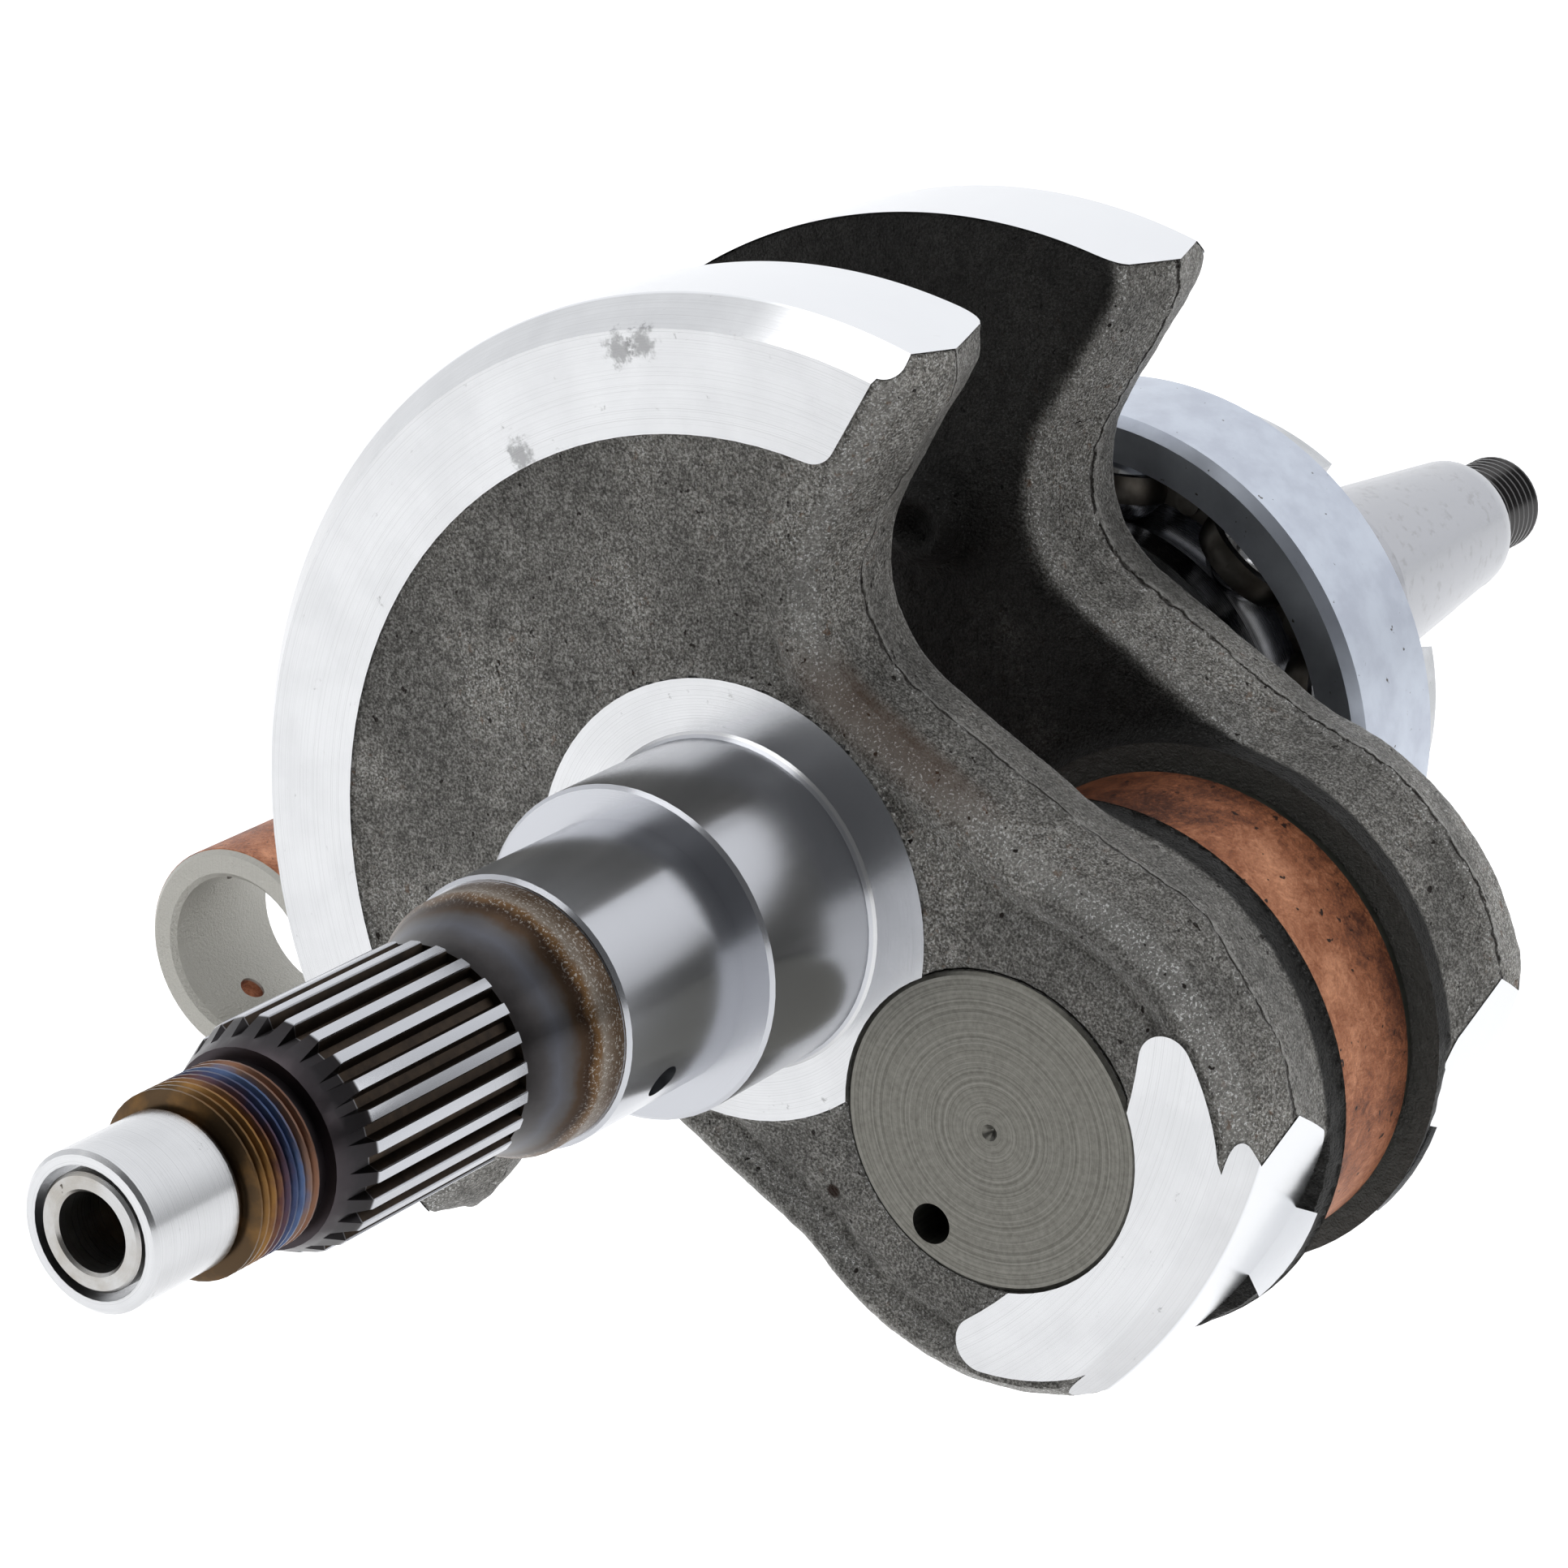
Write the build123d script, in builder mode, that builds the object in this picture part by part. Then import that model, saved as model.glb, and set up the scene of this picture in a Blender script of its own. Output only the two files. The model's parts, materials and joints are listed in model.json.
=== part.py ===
"""Built-up single-cylinder crankshaft with its connecting rod and one main bearing.

Millimetres. The crank axis is the X axis, +Z is up, and the origin is the middle of the main
bearing. The drive side, with the spline, points to -X and the rotor side, with the taper, to +X.
"""
import os
from math import cos, pi, radians, sin, tan

from build123d import *

os.makedirs("parts", exist_ok=True)

# Crank geometry
throw = 36.25
throw_angle = -149.8
rod_centres = 116.5
rod_angle = -6.6

# Where the crank webs stand along the axis
rod_plane_x = -46.3
web_gap = 26.0
web_thickness = 18.7
facing_proud = 0.6

# Outline of one web
web_radius = 62.5
waist_half_width = 28.6
pin_boss_radius = 30.4
horn_setback = 10.0
waist_fillet = 12.0
horn_fillet = 6.5
forging_allowance = 3.2
draft_angle = 12.0
forging_fillet = 2.4
rim_chamfer_radial = 3.0
rim_chamfer_axial = 3.7
facing_width = 13.7
facing_margin = 0.3
facing_corner_fillet = 3.0
pin_pad_radius = 28.9
pin_pad_clearance = 0.06

# Crankpin and big end
crankpin_radius = 17.0
crankpin_chamfer = 0.45
crankpin_inset = 0.3
centre_mark_radius = 0.9
big_end_width = 17.5
big_end_wall = 5.26
washer_thickness = 1.25
washer_setback = 0.6
side_clearance = 0.06
roller_radius = 2.0
roller_length = 13.0
roller_count = 16
roller_clearance = 0.02
cage_thickness = 2.1
cage_side_clearance = 0.4
cage_window_clearance = 0.12

# Connecting rod
small_end_radius = 12.9
small_end_bore_radius = 9.5
shank_thickness = 12.0
shank_big_width = 25.0
shank_small_width = 17.0
shank_fillet = 9.0
shank_flange = 3.2
shank_web_thickness = 4.5
rod_oil_hole_radius = 1.5
rod_oil_hole_angle = 50.0
rod_edge_chamfer = 0.6

# Drive side shaft, from the web outwards
seat_radius = 17.5
seat_length = 17.8
seat_fillet = 0.6
seat_chamfer = 0.4
journal_radius = 14.0
journal_length = 19.2
neck_length = 12.9
neck_small_radius = 10.5
neck_collar_step = 0.6
neck_collar_length = 3.8
neck_sag = 0.45
spline_length = 22.4
spline_radius = 11.5
spline_depth = 1.25
spline_teeth = 24
spline_lead_length = 4.2
spline_gap_share = 0.5
thread_length = 10.3
thread_radius = 9.1
thread_pitch = 1.0
thread_relief = 1.3
tip_length = 12.1
tip_radius = 7.7
tip_chamfer = 0.4
tip_undercut = 0.5
journal_oil_hole_radius = 1.9
journal_hole_shift = 1.6
shaft_boss_radius = 23.6

# Oil feed
tip_wall = 1.35
bush_wall = 1.85
bush_length = 14.0
bush_gap = 0.7
bush_gap_depth = 2.5
bush_chamfer = 0.3
gallery_radius = 3.0
web_gallery_radius = 2.0
pin_oil_hole_radius = 2.2
pin_oil_hole_offset = 13.4
plug_length = 4.0
plug_radius = 3.5

# Main bearing
bearing_outer_radius = 36.0
bearing_width = 17.0
bearing_chamfer = 1.1
bearing_outer_land = 4.15
bearing_inner_land = 3.85
ball_radius = 5.55
ball_count = 9
ball_clearance = 0.2
ribbon_thickness = 0.8
ribbon_half_width = 1.6
ribbon_ball_clearance = 0.12
rivet_radius = 0.9
rivet_head_radius = 1.5
rivet_head_height = 0.5

# Rotor side shaft
rotor_boss_radius = 22.0
rotor_shaft_radius = 12.5
flange_seat_radius = 15.0
flange_gap = 1.4
flange_width = 8.6
flange_root_radius = 26.6
flange_lug_radius = 31.2
flange_lug_count = 4
flange_lug_angle = 46.0
flange_lug_start = 249.8
flange_chamfer = 0.5
taper_start_x = 47.3
taper_end_x = 83.0
taper_end_radius = 8.45
taper_ratio = 0.1
stub_length = 14.1
stub_radius = 6.0
stub_pitch = 1.25
key_width = 4.0
key_cutter_radius = 7.5
key_x = 76.5
key_depth = 2.4
key_angle = 21.0

# Round bosses that the forging die leaves on the inner faces
die_boss_radius = 4.4
die_boss_height = 1.6
die_boss_place = (-18.2, -22.6)

# Stations that follow from the sizes above
drive_inner_x = rod_plane_x - web_gap / 2
drive_outer_x = drive_inner_x - web_thickness
rotor_inner_x = rod_plane_x + web_gap / 2
rotor_outer_x = rotor_inner_x + web_thickness
seat_start_x = drive_outer_x - seat_length
journal_start_x = seat_start_x - journal_length
spline_end_x = journal_start_x - neck_length
spline_start_x = spline_end_x - spline_length
spline_nose_x = spline_start_x - spline_lead_length
thread_start_x = spline_nose_x - thread_length
tip_x = thread_start_x - tip_length
stub_end_x = taper_end_x + stub_length
pad_height = web_gap / 2 - big_end_width / 2 - washer_thickness - side_clearance - pin_pad_clearance
roller_pitch_radius = crankpin_radius + roller_radius + roller_clearance
big_end_bore_radius = crankpin_radius + 2 * (roller_radius + roller_clearance)
big_end_radius = big_end_bore_radius + big_end_wall
washer_radius = big_end_radius - washer_setback
facing_inner_radius = web_radius - facing_width
neck_collar_radius = journal_radius - neck_collar_step
bush_radius = tip_radius - tip_wall - bush_gap
bush_bore_radius = bush_radius - bush_wall
ball_pitch_radius = (seat_radius + bearing_outer_radius) / 2
bearing_outer_shoulder = ball_pitch_radius + bearing_outer_land
bearing_inner_shoulder = ball_pitch_radius - bearing_inner_land
ribbon_inner_radius = ball_pitch_radius - ribbon_half_width
ribbon_outer_radius = ball_pitch_radius + ribbon_half_width
groove_radius = ball_radius + ball_clearance
spline_root_radius = spline_radius - spline_depth


def polar(radius, angle):
    """A point in a plane from its radius and its angle in degrees."""
    return (radius * cos(radians(angle)), radius * sin(radians(angle)))


# Planes: crank_plane faces +X, and its own x direction runs from the crank axis to the crankpin
throw_direction = (0.0, *polar(1.0, throw_angle))
rod_direction = (0.0, *polar(1.0, rod_angle))
pin_centre = (0.0, *polar(throw, throw_angle))
big_end_centre = (rod_plane_x, *polar(throw, throw_angle))
crank_plane = Plane(origin=(0, 0, 0), x_dir=throw_direction, z_dir=(1, 0, 0))
pin_plane = Plane(origin=pin_centre, x_dir=throw_direction, z_dir=(1, 0, 0))
rod_plane = Plane(origin=big_end_centre, x_dir=rod_direction, z_dir=(1, 0, 0))

# Half sections are drawn as (distance along the axis, radius) and turned about the axis
half_section = Plane.XY
pin_half_section = Plane(origin=pin_centre, x_dir=(1, 0, 0), z_dir=(0, 0, 1))
crank_axis = Axis.X
pin_axis = Axis(pin_centre, (1, 0, 0))


def thread_outline(start_x, length, radius, pitch):
    """Crests and roots of a thread, cut as rings one pitch apart."""
    depth = 0.6 * pitch
    crest = 0.12 * pitch
    count = int(length / pitch + 1e-6)
    points = []
    for turn in range(count):
        middle = start_x + (turn + 0.5) * length / count
        points.append((middle - crest, radius))
        points.append((middle + crest, radius))
        if turn < count - 1:
            points.append((middle + 0.5 * length / count, radius - depth))
    return points


def web_outline(growth):
    """Counterweight, waist and pin boss of a web, grown outwards by growth, on a sketch."""
    counterweight_radius = web_radius + forging_allowance + growth
    shoulder = growth - horn_setback
    half_width = waist_half_width + growth
    Circle(counterweight_radius)
    with Locations((shoulder + counterweight_radius, 0)):
        Rectangle(2 * counterweight_radius, 2 * counterweight_radius, mode=Mode.SUBTRACT)
    with Locations(((throw - horn_setback) / 2 - half_width / 4, 0)):
        Rectangle(throw + horn_setback + half_width / 2, 2 * half_width)
    with Locations((throw, 0)):
        Circle(pin_boss_radius + growth)


def forged_web():
    """The drive-side web: a drafted forging, turned to diameter, its outer face machined."""
    forged_outer_x = drive_outer_x + facing_proud
    half_thickness = (drive_inner_x - forged_outer_x) / 2
    face_inset = half_thickness * tan(radians(draft_angle))
    facing_growth = facing_margin - face_inset - forging_fillet
    at_shoulder = (-horn_setback - 0.01, 0.01 - horn_setback)

    with BuildPart() as web:
        with BuildSketch(crank_plane.offset((forged_outer_x + drive_inner_x) / 2)):
            web_outline(0)
            tips = vertices().filter_by_position(Axis.X, *at_shoulder).sort_by(Axis.Y)
            fillet([tips[0], tips[-1]], horn_fillet)
            corners = vertices().filter_by_position(Axis.X, *at_shoulder)
            fillet(corners.sort_by(lambda corner: abs(corner.Y))[0:2], waist_fillet)
            fillet(vertices().filter_by_position(Axis.X, throw / 2, throw), waist_fillet)
        extrude(amount=half_thickness, both=True, taper=draft_angle)
        fillet(faces().sort_by(Axis.X)[0].edges(), forging_fillet)
        fillet(faces().sort_by(Axis.X)[-1].edges(), forging_fillet)

        # The rim stands proud outside facing_inner_radius, where the lathe faces it
        with BuildSketch(crank_plane.offset(drive_outer_x)):
            web_outline(facing_growth)
            Circle(facing_inner_radius, mode=Mode.SUBTRACT)
            inner_corners = vertices().sort_by(lambda corner: Vector(corner.X, corner.Y, 0).length)
            fillet(inner_corners[0:4], facing_corner_fillet)
        extrude(amount=2 * facing_proud)

        with BuildSketch(half_section):
            with BuildLine():
                Polyline(
                    (drive_inner_x, 0),
                    (drive_inner_x, web_radius),
                    (drive_outer_x + rim_chamfer_axial, web_radius),
                    (drive_outer_x, web_radius - rim_chamfer_radial),
                    (drive_outer_x, 0),
                    close=True,
                )
            make_face()
        revolve(axis=crank_axis, mode=Mode.INTERSECT)

        # A pad round the crankpin takes the thrust washer
        with BuildSketch(pin_plane.offset(drive_inner_x)):
            Circle(pin_pad_radius)
        extrude(amount=pad_height)

        with BuildSketch(crank_plane.offset(drive_inner_x)):
            with Locations(die_boss_place):
                Circle(die_boss_radius)
        extrude(amount=die_boss_height, taper=draft_angle)
    return web.part


drive_web = forged_web()
rotor_web = mirror(drive_web, about=Plane.YZ.offset(rod_plane_x))

# ---- Drive-side half of the crank: web, main journal, spline, thread and oil-feed tip
neck_start_x = spline_end_x + 1.2
collar_x = journal_start_x - neck_collar_length
gallery_end_x = (drive_outer_x + drive_inner_x) / 2
with BuildPart() as drive_side_crank_half:
    add(drive_web)
    with BuildSketch(crank_plane.offset(drive_outer_x + facing_proud)):
        Circle(shaft_boss_radius)
    extrude(amount=-facing_proud)

    with BuildSketch(half_section):
        with BuildLine():
            Polyline(
                (drive_outer_x + facing_proud, 0),
                (drive_outer_x + facing_proud, seat_radius + seat_fillet),
                (drive_outer_x, seat_radius + seat_fillet),
                (drive_outer_x - seat_fillet, seat_radius),
                (seat_start_x + seat_chamfer, seat_radius),
                (seat_start_x, seat_radius - seat_chamfer),
                (seat_start_x, journal_radius),
                (journal_start_x + seat_chamfer, journal_radius),
                (journal_start_x, journal_radius - seat_chamfer),
                (journal_start_x, neck_collar_radius),
                (collar_x, neck_collar_radius),
            )
            ThreePointArc(
                (collar_x, neck_collar_radius),
                (
                    (collar_x + neck_start_x) / 2,
                    (neck_collar_radius + neck_small_radius) / 2 - neck_sag,
                ),
                (neck_start_x, neck_small_radius),
            )
            Polyline(
                (neck_start_x, neck_small_radius),
                (spline_end_x + seat_chamfer, neck_small_radius),
                (spline_end_x, spline_radius),
                (spline_start_x, spline_radius),
                (spline_nose_x, thread_radius + thread_relief / 2),
                (spline_nose_x, thread_radius - thread_relief / 2),
                (thread_start_x + thread_length - thread_relief, thread_radius - thread_relief / 2),
                *reversed(
                    thread_outline(
                        thread_start_x, thread_length - thread_relief, thread_radius, thread_pitch
                    )
                ),
                (thread_start_x, tip_radius + tip_undercut),
                (thread_start_x, tip_radius - tip_undercut),
                (thread_start_x - 2 * tip_undercut, tip_radius - tip_undercut),
                (thread_start_x - 2 * tip_undercut, tip_radius),
                (tip_x + tip_chamfer, tip_radius),
                (tip_x, tip_radius - tip_chamfer),
                (tip_x, 0),
                (drive_outer_x + facing_proud, 0),
            )
        make_face()
    revolve(axis=crank_axis)
    with BuildSketch(pin_plane.offset(drive_outer_x)):
        Circle(crankpin_radius)
    extrude(amount=web_thickness + pad_height, mode=Mode.SUBTRACT)

    # Splines
    gap_outside = spline_gap_share * 2 * pi * spline_radius / spline_teeth
    gap_inside = 0.6 * gap_outside
    with BuildSketch(crank_plane.offset(spline_nose_x - thread_relief / 2)):
        with PolarLocations(0, spline_teeth):
            Polygon(
                (spline_root_radius, -gap_inside / 2),
                (spline_radius + spline_depth, -gap_outside),
                (spline_radius + spline_depth, gap_outside),
                (spline_root_radius, gap_inside / 2),
                align=None,
            )
    extrude(amount=spline_end_x + 2 * seat_chamfer - spline_nose_x, mode=Mode.SUBTRACT)

    # Oil feed: counterbored tip, axial gallery, journal hole and the hole to the crankpin
    with BuildSketch(crank_plane.offset(tip_x)):
        Circle(bush_radius + bush_gap)
    extrude(amount=bush_gap_depth, mode=Mode.SUBTRACT)
    with BuildSketch(crank_plane.offset(tip_x)):
        Circle(bush_radius)
    extrude(amount=bush_length, mode=Mode.SUBTRACT)
    with BuildSketch(crank_plane.offset(tip_x + bush_length)) as gallery:
        Circle(gallery_radius)
    extrude(amount=gallery_end_x + web_gallery_radius - tip_x - bush_length, mode=Mode.SUBTRACT)
    journal_hole_x = (seat_start_x + journal_start_x) / 2 - journal_hole_shift
    with BuildSketch(Plane(origin=(journal_hole_x, 0, 0), z_dir=throw_direction)):
        Circle(journal_oil_hole_radius)
    extrude(amount=seat_radius, mode=Mode.SUBTRACT)
    with BuildSketch(Plane(origin=(gallery_end_x, 0, 0), z_dir=throw_direction)):
        Circle(web_gallery_radius)
    extrude(amount=throw, mode=Mode.SUBTRACT)
drive_side_crank_half.part.label = "drive_side_crank_half"

# ---- Rotor-side half of the crank: web, bearing seat, taper with its key slot, threaded stub
seat_end_x = bearing_width / 2 + flange_gap / 2
flange_seat_end_x = bearing_width / 2 + flange_gap + flange_width + flange_gap / 2
taper_start_radius = taper_end_radius + taper_ratio * (taper_end_x - taper_start_x)
key_surface_radius = taper_end_radius + taper_ratio * (taper_end_x - key_x)
key_side = (0.0, *polar(1.0, throw_angle + key_angle + 90))
key_centre = (key_x, *polar(key_surface_radius - key_depth + key_cutter_radius, throw_angle + key_angle))
with BuildPart() as rotor_side_crank_half:
    add(rotor_web)
    with BuildSketch(half_section):
        with BuildLine():
            Polyline(
                (rotor_outer_x - facing_proud - 0.5, 0),
                (rotor_outer_x - facing_proud - 0.5, rotor_boss_radius + 1.5),
                (rotor_outer_x - facing_proud + 1.0, rotor_boss_radius),
                (-bearing_width / 2, rotor_boss_radius),
                (-bearing_width / 2, seat_radius),
                (seat_end_x, seat_radius),
                (seat_end_x, flange_seat_radius),
                (flange_seat_end_x, flange_seat_radius),
                (flange_seat_end_x, rotor_shaft_radius),
                (taper_start_x, rotor_shaft_radius),
                (taper_start_x, taper_start_radius),
                (taper_end_x - seat_chamfer, taper_end_radius + taper_ratio * seat_chamfer),
                (taper_end_x, taper_end_radius - seat_chamfer),
                (taper_end_x, stub_radius - 0.6 * stub_pitch),
                (taper_end_x + stub_pitch, stub_radius - 0.6 * stub_pitch),
                *thread_outline(
                    taper_end_x + stub_pitch, stub_length - 2 * stub_pitch, stub_radius, stub_pitch
                ),
                (stub_end_x - stub_pitch, stub_radius - 0.5 * stub_pitch),
                (stub_end_x, stub_radius - 0.8 * stub_pitch),
                (stub_end_x, 0),
                close=True,
            )
        make_face()
    revolve(axis=crank_axis)
    with BuildSketch(pin_plane.offset(rotor_inner_x - pad_height)):
        Circle(crankpin_radius)
    extrude(amount=-bearing_width / 2 - rotor_inner_x + pad_height, mode=Mode.SUBTRACT)
    key_plane = Plane(origin=key_centre, x_dir=(1, 0, 0), z_dir=key_side)
    with BuildSketch(key_plane.offset(-key_width / 2)):
        Circle(key_cutter_radius)
    extrude(amount=key_width, mode=Mode.SUBTRACT)
rotor_side_crank_half.part.label = "rotor_side_crank_half"

# ---- Crankpin, pressed into both webs, with its oil ways
pin_drive_x = drive_outer_x + crankpin_inset
pin_rotor_x = rotor_outer_x - crankpin_inset
pin_bore_radius = plug_radius
with BuildPart() as crankpin:
    with BuildSketch(pin_half_section):
        with BuildLine():
            Polyline(
                (pin_drive_x + centre_mark_radius, 0),
                (pin_drive_x, centre_mark_radius),
                (pin_drive_x, crankpin_radius - crankpin_chamfer),
                (pin_drive_x + crankpin_chamfer, crankpin_radius),
                (pin_rotor_x - crankpin_chamfer, crankpin_radius),
                (pin_rotor_x, crankpin_radius - crankpin_chamfer),
                (pin_rotor_x, pin_bore_radius),
                (gallery_end_x - web_gallery_radius, pin_bore_radius),
                (gallery_end_x - web_gallery_radius, 0),
                close=True,
            )
        make_face()
    revolve(axis=pin_axis)
    with BuildSketch(Plane(origin=(gallery_end_x, *pin_centre[1:]), z_dir=throw_direction)):
        Circle(web_gallery_radius)
    extrude(amount=-crankpin_radius - 1, mode=Mode.SUBTRACT)
    with BuildSketch(pin_plane.offset(pin_drive_x)):
        with Locations((0, pin_oil_hole_offset)):
            Circle(pin_oil_hole_radius)
    extrude(amount=rod_plane_x - pin_drive_x, mode=Mode.SUBTRACT)
    cross_direction = (0.0, *polar(1.0, throw_angle + 90))
    with BuildSketch(Plane(origin=big_end_centre, z_dir=cross_direction)):
        Circle(web_gallery_radius)
    extrude(amount=crankpin_radius + 1, mode=Mode.SUBTRACT)
crankpin.part.label = "crankpin"

with BuildPart() as crankpin_oil_plug:
    with BuildSketch(pin_plane.offset(pin_rotor_x - plug_length - 1)):
        Circle(plug_radius)
    extrude(amount=plug_length)
crankpin_oil_plug.part.label = "crankpin_oil_plug"

with BuildPart() as oil_feed_bush:
    with BuildSketch(crank_plane.offset(tip_x)):
        Circle(bush_radius)
        Circle(bush_bore_radius, mode=Mode.SUBTRACT)
    extrude(amount=bush_length)
    chamfer(edges().group_by(Axis.X)[0], bush_chamfer)
oil_feed_bush.part.label = "oil_feed_bush"

# ---- Connecting rod: an I-beam between two machined eyes
with BuildPart() as connecting_rod:
    with BuildSketch(rod_plane):
        Circle(big_end_radius)
        with Locations((rod_centres, 0)):
            Circle(small_end_radius)
        Polygon(
            (0, -shank_big_width / 2),
            (rod_centres, -shank_small_width / 2),
            (rod_centres, shank_small_width / 2),
            (0, shank_big_width / 2),
            align=None,
        )
        fillet(vertices().filter_by_position(Axis.X, 1, rod_centres - 1), shank_fillet)
    extrude(amount=shank_thickness / 2, both=True)

    pocket_start = big_end_radius + shank_flange
    pocket_end = rod_centres - small_end_radius - shank_flange
    taper_per_mm = (shank_big_width - shank_small_width) / 2 / rod_centres
    pocket_start_half = shank_big_width / 2 - shank_flange - taper_per_mm * pocket_start
    pocket_end_half = shank_big_width / 2 - shank_flange - taper_per_mm * pocket_end
    pocket_depth = (shank_thickness - shank_web_thickness) / 2
    for side in (-1, 1):
        with BuildSketch(rod_plane.offset(side * shank_thickness / 2)):
            Polygon(
                (pocket_start, -pocket_start_half),
                (pocket_end, -pocket_end_half),
                (pocket_end, pocket_end_half),
                (pocket_start, pocket_start_half),
                align=None,
            )
            fillet(vertices(), shank_flange)
        extrude(amount=-side * pocket_depth, mode=Mode.SUBTRACT)

    with BuildSketch(rod_plane):
        Circle(big_end_radius)
        with Locations((rod_centres, 0)):
            Circle(small_end_radius)
    extrude(amount=big_end_width / 2, both=True)
    with BuildSketch(rod_plane):
        Circle(big_end_bore_radius)
        with Locations((rod_centres, 0)):
            Circle(small_end_bore_radius)
    extrude(amount=big_end_width / 2, both=True, mode=Mode.SUBTRACT)
    end_faces = faces().filter_by(Axis.X)
    chamfer(end_faces.sort_by(Axis.X)[0:2].edges() + end_faces.sort_by(Axis.X)[-2:].edges(), rod_edge_chamfer)
    for side in (-1, 1):
        hole_direction = (0.0, *polar(1.0, rod_angle + side * rod_oil_hole_angle))
        small_end_centre = rod_plane.from_local_coords(Vector(rod_centres, 0, 0))
        with BuildSketch(Plane(origin=small_end_centre, z_dir=hole_direction)):
            Circle(rod_oil_hole_radius)
        extrude(amount=small_end_radius + 1, mode=Mode.SUBTRACT)
connecting_rod.part.label = "connecting_rod"

# ---- Big-end needle bearing and the two thrust washers
big_end_plane = pin_plane.offset(rod_plane_x)
cage_length = big_end_width - 2 * cage_side_clearance
with BuildPart() as big_end_cage:
    with BuildSketch(big_end_plane):
        Circle(roller_pitch_radius + cage_thickness / 2)
        Circle(roller_pitch_radius - cage_thickness / 2, mode=Mode.SUBTRACT)
    extrude(amount=cage_length / 2, both=True)
    with Locations(big_end_plane):
        with PolarLocations(roller_pitch_radius, roller_count):
            Box(
                2 * cage_thickness,
                2 * (roller_radius + cage_window_clearance),
                roller_length + 2 * cage_window_clearance,
                mode=Mode.SUBTRACT,
            )
big_end_cage.part.label = "big_end_cage"

with BuildPart() as big_end_rollers:
    with BuildSketch(big_end_plane):
        with PolarLocations(roller_pitch_radius, roller_count):
            Circle(roller_radius)
    extrude(amount=roller_length / 2, both=True)
big_end_rollers.part.label = "big_end_rollers"

washer_start = big_end_width / 2 + side_clearance
with BuildPart() as drive_side_thrust_washer:
    with BuildSketch(big_end_plane.offset(-washer_start)):
        Circle(washer_radius)
        Circle(crankpin_radius + pin_pad_clearance, mode=Mode.SUBTRACT)
    extrude(amount=-washer_thickness)
drive_side_thrust_washer.part.label = "drive_side_thrust_washer"

with BuildPart() as rotor_side_thrust_washer:
    with BuildSketch(big_end_plane.offset(washer_start)):
        Circle(washer_radius)
        Circle(crankpin_radius + pin_pad_clearance, mode=Mode.SUBTRACT)
    extrude(amount=washer_thickness)
rotor_side_thrust_washer.part.label = "rotor_side_thrust_washer"

# ---- Main ball bearing
with BuildPart() as main_bearing_outer_ring:
    with BuildSketch(crank_plane):
        Circle(bearing_outer_radius)
        Circle(bearing_outer_shoulder, mode=Mode.SUBTRACT)
    extrude(amount=bearing_width / 2, both=True)
    rims = edges().filter_by(GeomType.CIRCLE).group_by(SortBy.RADIUS)
    chamfer(rims[-1], bearing_chamfer)
    with Locations(crank_plane):
        Torus(ball_pitch_radius, groove_radius, mode=Mode.SUBTRACT)
main_bearing_outer_ring.part.label = "main_bearing_outer_ring"

with BuildPart() as main_bearing_inner_ring:
    with BuildSketch(crank_plane):
        Circle(bearing_inner_shoulder)
        Circle(seat_radius, mode=Mode.SUBTRACT)
    extrude(amount=bearing_width / 2, both=True)
    with Locations(crank_plane):
        Torus(ball_pitch_radius, groove_radius, mode=Mode.SUBTRACT)
main_bearing_inner_ring.part.label = "main_bearing_inner_ring"

with BuildPart() as main_bearing_balls:
    with Locations(crank_plane):
        with PolarLocations(ball_pitch_radius, ball_count):
            Sphere(ball_radius)
main_bearing_balls.part.label = "main_bearing_balls"

# Two pressed ribbons with a cup round each ball, riveted together between the balls
cup_inner_radius = ball_radius + ribbon_ball_clearance
cup_outer_radius = cup_inner_radius + ribbon_thickness
rivet_start = 180 / ball_count


def cage_ribbon(side):
    """Half of the ball cage, on the side of the middle plane that side points to."""
    with BuildPart() as ribbon:
        with BuildSketch(crank_plane):
            Circle(ribbon_outer_radius)
            Circle(ribbon_inner_radius, mode=Mode.SUBTRACT)
        extrude(amount=side * ribbon_thickness)
        with Locations(crank_plane):
            with PolarLocations(ball_pitch_radius, ball_count):
                Sphere(cup_outer_radius)
        with BuildSketch(crank_plane):
            Circle(ribbon_outer_radius)
            Circle(ribbon_inner_radius, mode=Mode.SUBTRACT)
        extrude(amount=side * bearing_width / 2, mode=Mode.INTERSECT)
        with Locations(crank_plane):
            with PolarLocations(ball_pitch_radius, ball_count):
                Sphere(cup_inner_radius, mode=Mode.SUBTRACT)
        with BuildSketch(crank_plane):
            with PolarLocations(ball_pitch_radius, ball_count, start_angle=rivet_start):
                Circle(rivet_radius)
        extrude(amount=side * bearing_width / 2, mode=Mode.SUBTRACT)
    return ribbon.part


inboard_ribbon = cage_ribbon(-1)
outboard_ribbon = cage_ribbon(1)
with BuildPart() as main_bearing_cage_inboard:
    add(inboard_ribbon)
main_bearing_cage_inboard.part.label = "main_bearing_cage_inboard"

with BuildPart() as main_bearing_cage_outboard:
    add(outboard_ribbon)
main_bearing_cage_outboard.part.label = "main_bearing_cage_outboard"

with BuildPart() as main_bearing_cage_rivets:
    with BuildSketch(crank_plane):
        with PolarLocations(ball_pitch_radius, ball_count, start_angle=rivet_start):
            Circle(rivet_radius)
    extrude(amount=ribbon_thickness, both=True)
    for side in (-1, 1):
        with BuildSketch(crank_plane.offset(side * ribbon_thickness)):
            with PolarLocations(ball_pitch_radius, ball_count, start_angle=rivet_start):
                Circle(rivet_head_radius)
        extrude(amount=side * rivet_head_height)
main_bearing_cage_rivets.part.label = "main_bearing_cage_rivets"

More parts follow.
